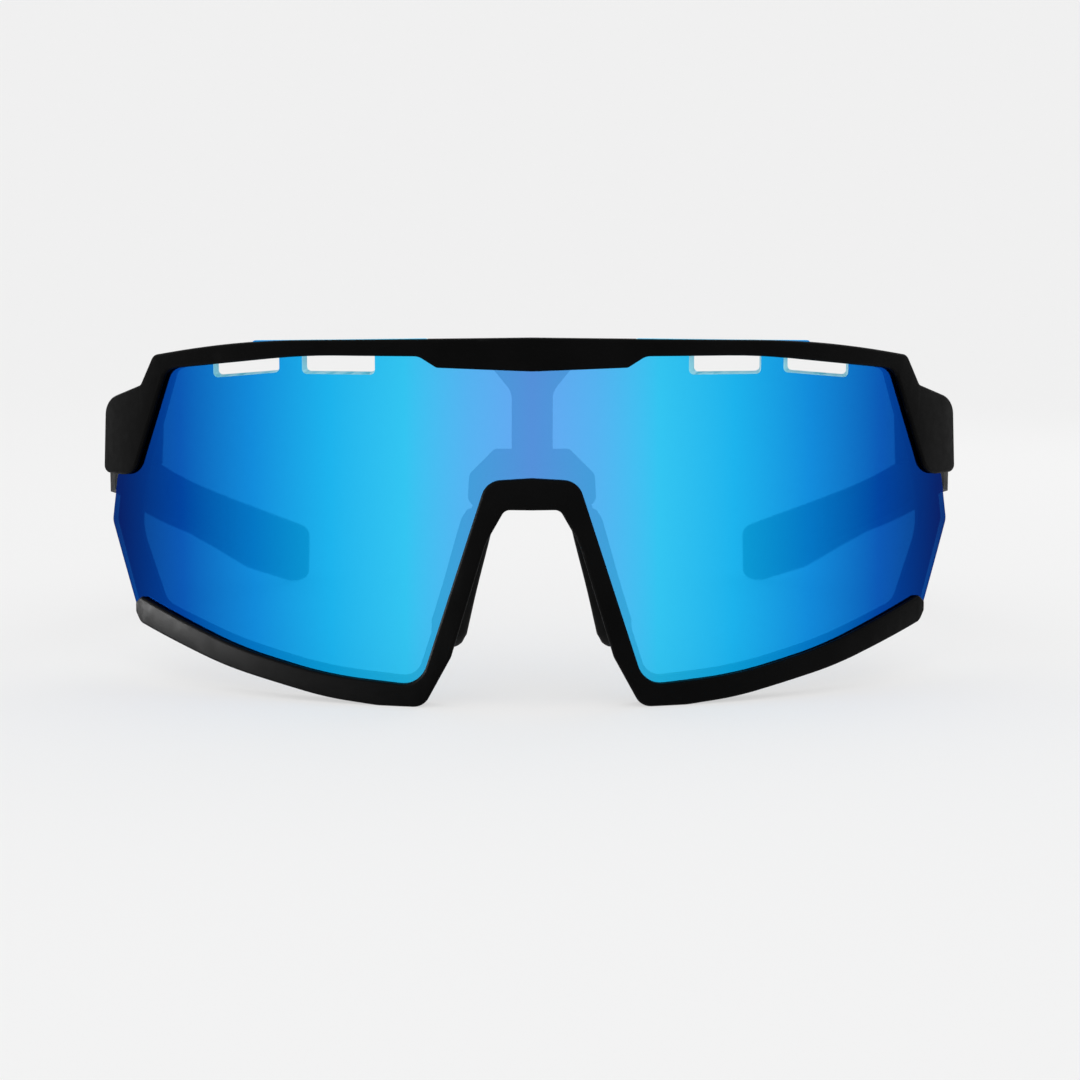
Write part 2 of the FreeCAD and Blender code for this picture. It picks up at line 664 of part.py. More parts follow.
def upper_frame(slot):
    """Brow, shoulders, end blocks, hinge ears and the strut behind the lens."""
    front_outline = outline("upper_front", UPPER_FRONT, ELEVATION)
    rear_outline = outline("upper_rear", UPPER_REAR, ELEVATION)
    front = curved_wall("upper_plate", front_outline, "-sheet.rear_wall", "sheet.front_lip")
    rear = curved_wall("upper_back", rear_outline, "-sheet.rear_wall",
                       "-sheet.lens_thickness")
    socket_outline = outline("socket_outline", UPRIGHT_SOCKET, ELEVATION)
    socket = curved_wall("upright_socket", socket_outline, "-sheet.rear_wall - sheet.edge_gap",
                         "-sheet.lens_thickness + sheet.edge_gap")
    block = end_block(front_outline)
    raw = fuse("upper_half_raw", cut("upper_front_trimmed", front, block_trims()), rear, block)
    slotted = cut("upper_half_slotted", raw, slot, socket)
    half = cut("upper_half", fuse("upper_half_eared", slotted, hinge_ears()), hinge_bores())
    joined = whole("upper_frame_joined", half)
    drilled = cut("upper_frame_drilled", joined, screw_holes("strut_hole", "-sheet.rear_wall"))
    return rounded("upper_frame", drilled, on_front_face, "sheet.front_round")


def screw_holes(name, step):
    """Two threaded holes on the centre line, running forward from a radial step."""
    holes = []
    for level in ("low", "high"):
        hole = cylinder("%s_%s" % (name, level), "sheet.bridge_screw_radius",
                        "sheet.bridge_screw_length")
        start = "-sheet.overall_depth / 2 + sheet.front_lip + sheet.bridge_back"
        along_y(hole, "0", "%s - sheet.bridge_screw_length" % start,
                "sheet.bridge_screw_" + level)
        holes.append(hole)
    return fuse(name + "s", *holes)


def lower_frame(slot):
    """Both rims' lower edges, the nose arch and the uprights behind the lens sides."""
    front = curved_wall("lower_plate", outline("lower_front", LOWER_FRONT, ELEVATION),
                        "-sheet.rear_wall", "sheet.front_lip")
    rear = curved_wall("lower_back", outline("lower_rear", LOWER_REAR, ELEVATION),
                       "-sheet.rear_wall", "-sheet.lens_thickness")
    tongue = curved_wall("upright_tongue", outline("tongue_outline", UPRIGHT_TONGUE, ELEVATION),
                         "-sheet.rear_wall", "-sheet.lens_thickness - sheet.slot_gap")
    half = cut("lower_half", fuse("lower_half_raw", front, rear, tongue), slot)
    joined = whole("lower_frame_joined", half)
    return rounded("lower_frame", joined, on_front_face, "sheet.front_round")


def lens_slot(lens_outline):
    """Groove for the lens: its outline with a gap all round."""
    wider = doc.addObject("Part::Offset2D", "slot_outline")
    wider.Source = lens_outline
    bind(wider, Value="sheet.edge_gap")
    return curved_wall("lens_slot", wider, "-sheet.lens_thickness - sheet.slot_gap",
                       "sheet.slot_gap", "sheet.wall_reach")


def lens(lens_outline):
    """Cylindrical shield lens with two vents each side under the brow."""
    sheet_of_lens = curved_wall("lens_blank", lens_outline, "-sheet.lens_thickness", "0")
    cutters = []
    for name, corners in (("vent_near", VENT_NEAR), ("vent_far", VENT_FAR)):
        cutters.append(prism(name, outline(name + "_outline", corners, ELEVATION),
                             "sheet.wall_reach"))
    return whole("lens", cut("lens_half", sheet_of_lens, *cutters))


def nose_bridge():
    """Plate behind the nose arch that carries the pad wires, lapped behind the strut."""
    plate = curved_wall("bridge_plate", outline("bridge_outline", BRIDGE, ELEVATION),
                        "-sheet.bridge_back", "-sheet.bridge_front")
    lap = curved_wall("bridge_lap", outline("lap_outline", BRIDGE_LAP, ELEVATION),
                      "-sheet.bridge_back", "-sheet.rear_wall")
    boss = along_y(cylinder("wire_boss", "sheet.boss_radius", "sheet.boss_length"),
                   "sheet.wire_x", "sheet.boss_front", "sheet.wire_z")
    bore = along_y(cylinder("wire_hole", "sheet.wire_bore", "sheet.boss_length"),
                   "sheet.wire_x", "sheet.wire_y - sheet.slot_gap", "sheet.wire_z")
    half = cut("bridge_half", fuse("bridge_half_raw", plate, lap, boss), bore)
    return cut("nose_bridge", whole("bridge_joined", half), screw_holes("bridge_hole", "0"))


def bridge_screws():
    """Two small screws that hold the nose bridge to the strut from behind."""
    screws = []
    for level in ("low", "high"):
        screw = screw_body("bridge_screw_" + level, "sheet.bridge_screw_radius",
                           "sheet.bridge_head_radius",
                           "sheet.bridge_screw_length + sheet.bridge_head_height",
                           "sheet.bridge_head_height")
        back = ("-sheet.overall_depth / 2 + sheet.front_lip + sheet.bridge_back"
                " + sheet.bridge_head_height")
        screws.append(along_y(screw, "0", back, "sheet.bridge_screw_" + level))
    return screws


def temple_arm(core_hole, grip_pocket):
    """Left temple from the hinge tongue to the seam of the rubber tip."""
    plan = prism("arm_plan_prism", outline("arm_plan", ARM_PLAN, PLAN),
                 "sheet.trim_size", "sheet.trim_size")
    side = prism("arm_side_prism", outline("arm_side", ARM_SIDE, SIDE),
                 "sheet.trim_size", "sheet.trim_size")
    tongue_plan = outline("knuckle_plan", KNUCKLE_PLAN, PLAN)
    bind(tongue_plan, Placement__Base__z="sheet.tongue_bottom")
    tongue = prism("tongue_block", tongue_plan, "sheet.tongue_height")
    eye = cylinder("tongue_eye", "sheet.knuckle_radius", "sheet.tongue_height",
                   "sheet.tongue_bottom")
    bore = cylinder("tongue_bore", "sheet.pin_bore", "sheet.trim_size", "-sheet.trim_size / 2")
    raw = fuse("arm_raw", common("arm_blank", plan, side), tongue, eye)
    return at_hinge(cut("temple_arm_left", raw, bore, core_hole, grip_pocket))


def grip_solid(name):
    """Rubber strip that lines the inner face of the arm, a little proud of it."""
    plan = prism(name + "_plan_prism", outline(name + "_plan", GRIP_PLAN, PLAN),
                 "sheet.trim_size", "sheet.trim_size")
    side = prism(name + "_side_prism", outline(name + "_side", GRIP_SIDE, SIDE),
                 "sheet.trim_size", "sheet.trim_size")
    return common(name, plan, side)


def temple_tip(core_hole):
    """Left rubber tip, with a small flat where it rests on a level surface."""
    plan = prism("tip_plan_prism", outline("tip_plan", TIP_PLAN, PLAN),
                 "sheet.trim_size", "sheet.trim_size")
    side = prism("tip_side_prism", outline("tip_side", TIP_SIDE, SIDE),
                 "sheet.trim_size", "sheet.trim_size")
    sleeve = at_hinge(cut("tip_sleeve", common("tip_blank", plan, side), core_hole))
    floor = box("floor_trim", ("sheet.overall_depth", "sheet.overall_depth", "sheet.trim_size"),
                ("0", "0", "-sheet.trim_size"))
    return cut("temple_tip_left", sleeve, floor)


def core_line():
    """Place of the wire core in the hinge frame: it runs back, inward and a little down."""
    turn = Rotation(Vector(0, 0, 1), SIZES["core_turn"])
    dip = Rotation(Vector(1, 0, 0), -90 - SIZES["core_dip"])
    start = Vector(SIZES["core_x"], SIZES["core_y"], SIZES["core_z"])
    return Placement(start, turn.multiply(dip))


def temple():
    """Arm, rubber tip, wire core and inner grip of the left temple."""
    hole = cylinder("core_hole", "sheet.core_radius", "sheet.core_length")
    hole.Placement = core_line()
    bind(hole, Placement__Base__x="sheet.core_x", Placement__Base__y="sheet.core_y")
    bind(hole, Placement__Base__z="sheet.core_z")
    arm = temple_arm(hole, grip_solid("grip_pocket"))
    tip = temple_tip(hole)
    core = round_body("temple_core_left", ["sheet.core_radius"], "sheet.core_length")
    core.Placement = hinge_frame().multiply(core_line())
    grip = at_hinge(grip_solid("temple_grip_left"))
    return [arm, tip, core, grip]


def hinge_hardware():
    """Pin screw, brass insert in the lower ear and washer under the tongue, left hinge."""
    top = "sheet.upper_ear_bottom + sheet.upper_ear_height"
    screw = screw_body("hinge_screw_left", "sheet.pin_radius", "sheet.head_radius",
                       top + " - sheet.pin_bottom", "sheet.head_height", top)
    insert = round_body("hinge_insert_left", ["sheet.insert_radius", "sheet.pin_radius"],
                        "sheet.lower_ear_height", "sheet.lower_ear_bottom")
    washer = round_body("hinge_washer_left", ["sheet.washer_radius", "sheet.pin_bore"],
                        "sheet.washer_thickness",
                        "sheet.lower_ear_bottom + sheet.lower_ear_height")
    return [at_hinge(item) for item in (screw, insert, washer)]


def draw_wire_path(sketch):
    """Run along across, a quarter bend and a drop, from the sketch origin."""
    root = SIZES["wire_root"]
    bend = SIZES["wire_bend"]
    drop = SIZES["wire_drop"]
    corner = Vector(root - bend, -bend, 0)
    sketch.addGeometry(Part.LineSegment(Vector(0, 0, 0), Vector(root - bend, 0, 0)), False)
    arc = Part.ArcOfCircle(Part.Circle(corner, Vector(0, 0, 1), bend), 0, math.pi / 2)
    sketch.addGeometry(arc, False)
    sketch.addGeometry(Part.LineSegment(Vector(root, -bend, 0), Vector(root, -drop, 0)), False)
    sketch.addConstraint([Constraint("Coincident", 0, 1, -1, 1), Constraint("Horizontal", 0),
                          Constraint("Tangent", 0, 2, 1, 2), Constraint("Tangent", 1, 1, 2, 1),
                          Constraint("Vertical", 2)])
    sizes = ((Constraint("DistanceX", 0, 1, 2, 2, root), "sheet.wire_root"),
             (Constraint("Radius", 1, bend), "sheet.wire_bend"),
             (Constraint("DistanceY", 2, 2, 0, 1, drop), "sheet.wire_drop"))
    for constraint, expression in sizes:
        sketch.setExpression("Constraints[%d]" % sketch.addConstraint(constraint), expression)


def nose_wire():
    """Left pad wire: a stub along Y in the bridge, then a bend down into the pad."""
    body, circle = body_with_sketch("nose_wire_left", "XZ_Plane")
    draw_circle(circle, "sheet.wire_radius")
    path = body.newObject("Sketcher::SketchObject", "wire_path")
    plane = [item for item in body.Origin.OriginFeatures if item.Role == "YZ_Plane"][0]
    path.AttachmentSupport = [(plane, "")]
    path.MapMode = "FlatFace"
    draw_wire_path(path)
    pipe = body.newObject("PartDesign::AdditivePipe", "wire_pipe")
    pipe.Profile = circle
    pipe.Spine = (path, ["Edge1", "Edge2", "Edge3"])
    return at_nose(body)


def nose_pad(wire):
    """Left rubber pad: a rounded leaf that turns its back edge outward, on its wire."""
    body = doc.addObject("PartDesign::Body", "pad_leaf")
    sketch = body.newObject("Sketcher::SketchObject", "pad_side")
    plane = [item for item in body.Origin.OriginFeatures if item.Role == "YZ_Plane"][0]
    sketch.AttachmentSupport = [(plane, "")]
    sketch.MapMode = "FlatFace"
    sketch.AttachmentOffset = Placement(Vector(0, 0, 0), Rotation(Vector(0, -1, 0), 1))
    sketch.setExpression("AttachmentOffset.Base.x", "sheet.wire_root")
    sketch.setExpression("AttachmentOffset.Rotation.Angle", "sheet.pad_splay")
    draw_outline(sketch, PAD_SIDE)
    leaf = body.newObject("PartDesign::Pad", "pad_leaf_pad")
    leaf.Profile = sketch
    leaf.SideType = "Symmetric"
    bind(leaf, Length="sheet.pad_thickness")
    doc.recompute()
    round_edges = body.newObject("PartDesign::Fillet", "pad_leaf_round")
    round_edges.Base = (leaf, ["Face1", "Face2"])
    round_edges.UseAllEdges = True
    bind(round_edges, Radius="sheet.pad_round")
    at_nose(body)
    return cut("nose_pad_left", body, wire)


def export_parts(items):
    """Check every object and sub-part, then write one STEP file for each sub-part."""
    for item in doc.Objects:
        if "Invalid" in item.State or "Error" in item.State:
            raise RuntimeError("%s failed: %s" % (item.Name, item.getStatusString()))
    os.makedirs("parts", exist_ok=True)
    for item in items:
        if item.Shape.isNull() or not item.Shape.isValid() or len(item.Shape.Solids) != 1:
            raise RuntimeError("%s is not one valid solid" % item.Label)
    for item in items:
        item.Shape.exportStep("parts/%s.step" % item.Label)
        print("%s %.1f mm3" % (item.Label, item.Shape.Volume))


def main():
    """Build the tree, recompute, check and export."""
    fill_sheet()
    lens_outline = outline("lens_outline", LENS, ELEVATION)
    slot = lens_slot(lens_outline)
    centre = [upper_frame(slot), lower_frame(slot), lens(lens_outline), nose_bridge()]
    wire = nose_wire()
    left = temple() + hinge_hardware() + [wire, nose_pad(wire)]
    right = [mirrored(item.Name.replace("_left", "_right"), item) for item in left]
    subparts = centre + bridge_screws() + left + right
    for item in subparts:
        item.Label = item.Name
    doc.recompute()
    export_parts(subparts)


main()
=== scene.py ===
"""Looks of the wraparound sport sunglasses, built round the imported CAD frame.

Metres, +Z up, +X to the wearer's left, the lens faces -Y.
"""

import json
import math

import bmesh
import bpy
from mathutils import Matrix, Vector


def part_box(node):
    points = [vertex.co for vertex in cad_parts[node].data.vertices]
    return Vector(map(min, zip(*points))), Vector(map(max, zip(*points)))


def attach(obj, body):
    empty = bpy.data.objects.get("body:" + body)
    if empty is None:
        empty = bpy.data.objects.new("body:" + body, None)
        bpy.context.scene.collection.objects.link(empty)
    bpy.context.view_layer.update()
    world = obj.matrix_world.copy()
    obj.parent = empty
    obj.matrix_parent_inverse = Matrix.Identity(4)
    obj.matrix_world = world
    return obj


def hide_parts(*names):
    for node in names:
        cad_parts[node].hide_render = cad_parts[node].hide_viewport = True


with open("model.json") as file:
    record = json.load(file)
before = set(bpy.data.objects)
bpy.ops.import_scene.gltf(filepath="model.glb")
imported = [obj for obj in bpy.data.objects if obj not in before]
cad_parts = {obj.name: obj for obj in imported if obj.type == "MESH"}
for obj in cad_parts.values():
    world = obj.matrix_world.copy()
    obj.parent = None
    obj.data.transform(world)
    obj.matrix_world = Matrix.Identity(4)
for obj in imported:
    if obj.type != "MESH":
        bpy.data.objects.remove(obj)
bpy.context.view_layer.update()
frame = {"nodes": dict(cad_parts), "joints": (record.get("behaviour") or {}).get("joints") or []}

MM = 0.001
nodes = frame["nodes"]
joints = {joint["name"]: joint for joint in frame["joints"]}

LENS_LOW, LENS_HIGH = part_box("lens")
LENS_RADIUS = 90 * MM
LENS_THICKNESS = 2 * MM
LENS_AXIS_Y = LENS_LOW.y + LENS_RADIUS


# ---------------------------------------------------------------- materials

def new_material(name):
    """Empty node material with its node tree and its Principled shader."""
    material = bpy.data.materials.new(name)
    material.use_nodes = True
    tree = material.node_tree
    return material, tree, tree.nodes["Principled BSDF"]


def noise(tree, scale, detail=2.0, stretch=(1.0, 1.0, 1.0)):
    """Object-space noise, its scale in features per metre."""
    coordinates = tree.nodes.new("ShaderNodeTexCoord")
    mapping = tree.nodes.new("ShaderNodeMapping")
    mapping.inputs["Scale"].default_value = stretch
    texture = tree.nodes.new("ShaderNodeTexNoise")
    texture.inputs["Scale"].default_value = scale
    texture.inputs["Detail"].default_value = detail
    tree.links.new(coordinates.outputs["Object"], mapping.inputs["Vector"])
    tree.links.new(mapping.outputs["Vector"], texture.inputs["Vector"])
    return texture.outputs["Fac"]


def ramp(tree, source, stops):
    """Colour ramp from a value; stops are (place, colour)."""
    item = tree.nodes.new("ShaderNodeValToRGB")
    elements = item.color_ramp.elements
    while len(elements) < len(stops):
        elements.new(0.5)
    for element, (place, colour) in zip(elements, stops):
        element.position = place
        element.color = (*colour, 1.0)
    tree.links.new(source, item.inputs["Fac"])
    return item.outputs["Color"]


def bump(tree, shader, source, strength, distance):
    """Fine relief from a value, its depth in metres."""
    item = tree.nodes.new("ShaderNodeBump")
    item.inputs["Strength"].default_value = strength
    item.inputs["Distance"].default_value = distance
    tree.links.new(source, item.inputs["Height"])
    tree.links.new(item.outputs["Normal"], shader.inputs["Normal"])


def edge_highlight(tree, colour, amount):
    """Painted highlight: lighten a colour along convex edges, in patches."""
    geometry = tree.nodes.new("ShaderNodeNewGeometry")
    edge = ramp(tree, geometry.outputs["Pointiness"], [(0.52, grey(0.0)), (0.60, grey(1.0))])
    patch = ramp(tree, noise(tree, 260.0, 4.0), [(0.45, grey(0.0)), (0.7, grey(1.0))])
    mask = tree.nodes.new("ShaderNodeMixRGB")
    mask.blend_type = "MULTIPLY"
    mask.inputs["Fac"].default_value = 1.0
    tree.links.new(edge, mask.inputs["Color1"])
    tree.links.new(patch, mask.inputs["Color2"])
    painted_highlight = tree.nodes.new("ShaderNodeMixRGB")
    painted_highlight.inputs["Color2"].default_value = (*grey(amount), 1.0)
    tree.links.new(mask.outputs["Color"], painted_highlight.inputs["Fac"])
    tree.links.new(colour, painted_highlight.inputs["Color1"])
    return painted_highlight.outputs["Color"]


def grey(value):
    """Neutral colour."""
    return (value, value, value)


def moulded_nylon(name, dark, light, rough, gloss):
    """Matte injection-moulded nylon: fine spark-erosion grain, cloudy sheen, painted highlight in
    patches along its convex edges.
    """
    material, tree, shader = new_material(name)
    cloud = noise(tree, 90.0, 3.0)
    colour = ramp(tree, cloud, [(0.35, grey(dark)), (0.7, grey(light))])
    shine = ramp(tree, noise(tree, 700.0, 4.0), [(0.3, grey(rough)), (0.75, grey(rough + 0.12))])
    # Painted highlight along convex edges, in patches, up to three times the lightest grey.
    tree.links.new(edge_highlight(tree, colour, light * 3), shader.inputs["Base Color"])
    tree.links.new(shine, shader.inputs["Roughness"])
    shader.inputs["Specular IOR Level"].default_value = gloss
    bump(tree, shader, noise(tree, 9000.0), 0.2, 0.00003)
    return material


def soft_rubber(name):
    """Soft black rubber: duller than the nylon, with a faint dusty sheen and pores."""
    material, tree, shader = new_material(name)
    cloud = noise(tree, 60.0)
    colour = ramp(tree, cloud, [(0.3, grey(0.003)), (0.75, grey(0.006))])
    shine = ramp(tree, noise(tree, 420.0, 4.0), [(0.3, grey(0.6)), (0.7, grey(0.78))])
    # Painted highlight along convex edges, in patches.
    tree.links.new(edge_highlight(tree, colour, 0.02), shader.inputs["Base Color"])
    tree.links.new(shine, shader.inputs["Roughness"])
    shader.inputs["Specular IOR Level"].default_value = 0.1
    shader.inputs["Sheen Weight"].default_value = 0.03
    shader.inputs["Sheen Roughness"].default_value = 0.5
    bump(tree, shader, noise(tree, 5200.0, 3.0), 0.3, 0.00005)
    return material


def metal(name, dark, light, rough):
    """Turned or drawn metal with fine grain in its roughness."""
    material, tree, shader = new_material(name)
    grain = noise(tree, 3500.0, 3.0, (1.0, 1.0, 0.15))
    tree.links.new(ramp(tree, grain, [(0.3, dark), (0.7, light)]), shader.inputs["Base Color"])
    tree.links.new(ramp(tree, grain, [(0.3, grey(rough)), (0.7, grey(rough + 0.15))]),
                   shader.inputs["Roughness"])
    shader.inputs["Metallic"].default_value = 1.0
    bump(tree, shader, grain, 0.15, 0.00002)
    return material


def linear(byte):
    """Linear light of one sRGB byte."""
    value = byte / 255
    return value / 12.92 if value <= 0.04045 else ((value + 0.055) / 1.055) ** 2.4


# Mirror coat from the middle of the lens to its side: (half width in mm, sRGB colour).
# A blue multilayer coat: violet blue in the middle, then cyan, then a deepening blue. It is
# partly the coat's own colour
# and partly painted reflection: the colour shift and darkening seen from ahead towards the curved
# sides, fixed by position.
COAT_AND_PAINTED_REFLECTION_STOPS = (
    (0, (100, 170, 255)),
    (10, (80, 185, 255)),
    (20, (40, 205, 255)),
    (32, (15, 185, 250)),
    (45, (5, 140, 230)),
    (58, (2, 80, 185)),
    (73, (0, 25, 85)),
)


def across(tree, reach):
    """Distance from the plane X = 0 as a share of a reach."""
    coordinates = tree.nodes.new("ShaderNodeTexCoord")
    split = tree.nodes.new("ShaderNodeSeparateXYZ")
    tree.links.new(coordinates.outputs["Object"], split.inputs["Vector"])
    away = tree.nodes.new("ShaderNodeMath")
    away.operation = "ABSOLUTE"
    tree.links.new(split.outputs["X"], away.inputs[0])
    share = tree.nodes.new("ShaderNodeMath")
    share.operation = "DIVIDE"
    share.inputs[1].default_value = reach
    tree.links.new(away.outputs["Value"], share.inputs[0])
    return share.outputs["Value"]


def mirror_coat():
    """Blue multilayer mirror on the lens: its colour, partly painted reflection, shifts by
    position from the middle outward.
    """
    material, tree, shader = new_material("lens_mirror")
    reach = COAT_AND_PAINTED_REFLECTION_STOPS[-1][0]
    stops = [(place / reach, tuple(linear(byte) for byte in colour))
             for place, colour in COAT_AND_PAINTED_REFLECTION_STOPS]
    # Base colour by distance from the middle: coat colour with painted reflection from ahead.
    colour = ramp(tree, across(tree, reach * MM), stops)
    tree.links.new(colour, shader.inputs["Base Color"])
    film = ramp(tree, noise(tree, 45.0, 3.0), [(0.3, grey(0.05)), (0.7, grey(0.09))])
    tree.links.new(film, shader.inputs["Roughness"])
    shader.inputs["Metallic"].default_value = 0.78
    shader.inputs["Specular Tint"].default_value = (0.3, 0.5, 0.95, 1.0)
    shader.inputs["Transmission Weight"].default_value = 1.0
    shader.inputs["IOR"].default_value = 1.1
    return material


def clear_lens(name, colour, rough):
    """Bare polycarbonate of the lens: its inner face or a polished edge."""
    material, tree, shader = new_material(name)
    tint = ramp(tree, noise(tree, 30.0), [(0.3, colour), (0.7, tuple(0.96 * c for c in colour))])
    tree.links.new(tint, shader.inputs["Base Color"])
    shine = ramp(tree, noise(tree, 900.0, 4.0), [(0.35, grey(rough)), (0.7, grey(rough + 0.05))])
    tree.links.new(shine, shader.inputs["Roughness"])
    shader.inputs["Transmission Weight"].default_value = 1.0
    shader.inputs["IOR"].default_value = 1.1
    return material


def cut_edge():
    """Frosted pale cyan wall of a vent or of the lens rim, with a faint painted glow that stands
    for light carried through the lens.
    """
    material, tree, shader = new_material("lens_edge")
    tint = ramp(tree, noise(tree, 500.0, 3.0),
                [(0.3, (0.21, 0.70, 0.86)), (0.7, (0.26, 0.76, 0.90))])
    tree.links.new(tint, shader.inputs["Base Color"])
    shader.inputs["Roughness"].default_value = 0.35
    # Painted glow: a weak cyan emission, though the edge is no lamp.
    shader.inputs["Emission Color"].default_value = (0.2, 0.68, 0.85, 1.0)
    shader.inputs["Emission Strength"].default_value = 0.15
    bump(tree, shader, noise(tree, 2500.0, 3.0, (1.0, 1.0, 0.2)), 0.2, 0.00003)
    return material


NYLON = moulded_nylon("frame_black", 0.0013, 0.0024, 0.42, 0.035)
ARM_NYLON = moulded_nylon("temple_black", 0.0014, 0.0026, 0.4, 0.045)
RUBBER = soft_rubber("soft_rubber")
MIRROR = mirror_coat()
INNER_FACE = clear_lens("lens_inner", (0.42, 0.68, 0.86), 0.04)
EDGE = cut_edge()
STEEL = metal("screw_steel", grey(0.28), grey(0.42), 0.25)
WIRE = metal("core_steel", grey(0.45), grey(0.6), 0.22)
BRASS = metal("insert_brass", (0.5, 0.33, 0.12), (0.7, 0.48, 0.2), 0.25)
WASHER = moulded_nylon("washer_nylon", 0.5, 0.6, 0.4, 0.4)

FINISHES = (
    (NYLON, ("upper_frame", "lower_frame", "nose_bridge")),
    (ARM_NYLON, ("temple_arm_left", "temple_arm_right")),
    (RUBBER, ("temple_tip_left", "temple_tip_right", "temple_grip_left", "temple_grip_right",
              "nose_pad_left", "nose_pad_right")),
    (MIRROR, ("lens",)),
    (STEEL, ("hinge_screw_left", "hinge_screw_right", "bridge_screw_low", "bridge_screw_high")),
    (WIRE, ("temple_core_left", "temple_core_right", "nose_wire_left", "nose_wire_right")),
    (BRASS, ("hinge_insert_left", "hinge_insert_right")),
    (WASHER, ("hinge_washer_left", "hinge_washer_right")),
)
for material, names in FINISHES:
    for name in names:
        nodes[name].data.materials.clear()
        nodes[name].data.materials.append(material)


# ---------------------------------------------------------------- helpers for pieces

def finish_piece(name, mesh, materials, body, replaced):
    """Object from a bmesh, with its materials, its body and the nodes it replaces."""
    data = bpy.data.meshes.new(name)
    mesh.to_mesh(data)
    mesh.free()
    for material in materials:
        data.materials.append(material)
    for polygon in data.polygons:
        polygon.use_smooth = True
    piece = bpy.data.objects.new(name, data)
    bpy.context.scene.collection.objects.link(piece)
    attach(piece, body)
    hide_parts(*replaced)
    return piece


def soften(item, width, angle):
    """Small rounds on the sharp edges of a carried-over solid."""
    weld = item.modifiers.new("weld", "WELD")
    weld.merge_threshold = 0.002 * MM
    planar = item.modifiers.new("planar", "DECIMATE")
    planar.decimate_type = "DISSOLVE"
    planar.angle_limit = math.radians(0.4)
    bevel = item.modifiers.new("bevel", "BEVEL")
    bevel.width = width
    bevel.segments = 2
    bevel.limit_method = "ANGLE"
    bevel.angle_limit = math.radians(angle)
    bevel.harden_normals = True


# ---------------------------------------------------------------- lens

SLICE = 1.5 * MM
COATED, BARE, CUT = 0, 1, 2
# Vents of one half in mm: low X, high X, low Z, high Z.
VENTS = ((24.6, 36.4, 52.4, 56.2), (40.2, 51.65, 51.5, 55.65))
STRIP_LOW = 0.42 * MM
STRIP_SIDE = {-1: 0.62 * MM, 1: 1.0 * MM}
WALL_MARGIN = 0.05 * MM


def radius_of(point):
    """Distance of a point from the upright axis of the lens."""
    return math.hypot(point.x, point.y - LENS_AXIS_Y)


def put_on_radius(vertex, radius):
    """Move a vertex onto an upright cylinder about the lens axis, keeping its X."""
    vertex.co.y = LENS_AXIS_Y - math.sqrt(radius ** 2 - vertex.co.x ** 2)


def slant_vents(mesh, rear):
    """Draw in the rear outline of each vent, so its left and lower walls show from the front."""
    for side in (-1, 1):
        for low_x, high_x, low_z, high_z in VENTS:
            left, right = sorted((side * low_x * MM, side * high_x * MM))
            bottom, top = low_z * MM, high_z * MM
            for vertex in mesh.verts:
                x, _, z = vertex.co
                inside = left - WALL_MARGIN <= x <= right + WALL_MARGIN
                inside = inside and bottom - WALL_MARGIN <= z <= top + WALL_MARGIN
                if not inside or abs(radius_of(vertex.co) - rear) > WALL_MARGIN:
                    continue
                if not any(face.material_index == CUT for face in vertex.link_faces):
                    continue
                vertex.co.x = x + STRIP_SIDE[side] * (right - x) / (right - left)
                vertex.co.z = z + STRIP_LOW * (top - z) / (top - bottom)
                put_on_radius(vertex, rear)


# Height of the level cut below the vents, which keeps the cells round them short.
LEVEL_CUT = 50.4 * MM
TOUCH = 0.002 * MM


def slice_lens(mesh):
    """Cut the lens into upright strips, and once across below the vents."""
    steps = int(LENS_HIGH.x / SLICE)
    cuts = [((step * SLICE, 0, 0), (1, 0, 0)) for step in range(-steps, steps + 1)]
    cuts.append(((0, 0, LEVEL_CUT), (0, 0, 1)))
    for place, normal in cuts:
        parts = mesh.verts[:] + mesh.edges[:] + mesh.faces[:]
        bmesh.ops.bisect_plane(mesh, geom=parts, dist=0.0005 * MM, plane_co=place,
                               plane_no=normal)


def on_cut(edge):
    """Whether an edge lies on one of the cuts."""
    first, last = (vertex.co for vertex in edge.verts)
    if abs(first.z - LEVEL_CUT) < TOUCH and abs(last.z - LEVEL_CUT) < TOUCH:
        return True
    return abs(first.x - last.x) < TOUCH and abs(first.x - SLICE * round(first.x / SLICE)) < TOUCH


def join_cells(mesh):
    """Join the triangles of each broad face into one cell between its cuts."""
    spare = []
    for edge in mesh.edges:
        kinds = {face.material_index for face in edge.link_faces}
        if len(kinds) == 1 and kinds != {CUT} and not on_cut(edge):
            spare.append(edge)
    bmesh.ops.dissolve_edges(mesh, edges=spare, use_verts=False)


def lens_shield():
    """The lens at full smoothness: mirror coat in front, bare inner face, frosted edges."""
    mesh = bmesh.new()
    mesh.from_mesh(nodes["lens"].data)
    bmesh.ops.remove_doubles(mesh, verts=mesh.verts, dist=TOUCH)
    slice_lens(mesh)
    rear = LENS_RADIUS - LENS_THICKNESS
    mesh.normal_update()
    for face in mesh.faces:
        centre = face.calc_center_median()
        outward = Vector((centre.x, centre.y - LENS_AXIS_Y, 0)).normalized()
        facing = face.normal.dot(outward)
        face.material_index = COATED if facing > 0.9 else BARE if facing < -0.9 else CUT
    join_cells(mesh)
    for face in mesh.faces:
        if face.material_index == CUT:
            continue
        radius = LENS_RADIUS if face.material_index == COATED else rear
        for vertex in face.verts:
            put_on_radius(vertex, radius)
    slant_vents(mesh, rear)
    bmesh.ops.triangulate(mesh, faces=[f for f in mesh.faces if len(f.verts) > 4])
    for edge in mesh.edges:
        kinds = {face.material_index for face in edge.link_faces}
        edge.smooth = len(kinds) == 1
    finish_piece("lens_shield", mesh, (MIRROR, INNER_FACE, EDGE), "lens",
                 ("lens",))


# ---------------------------------------------------------------- temple tips and grips

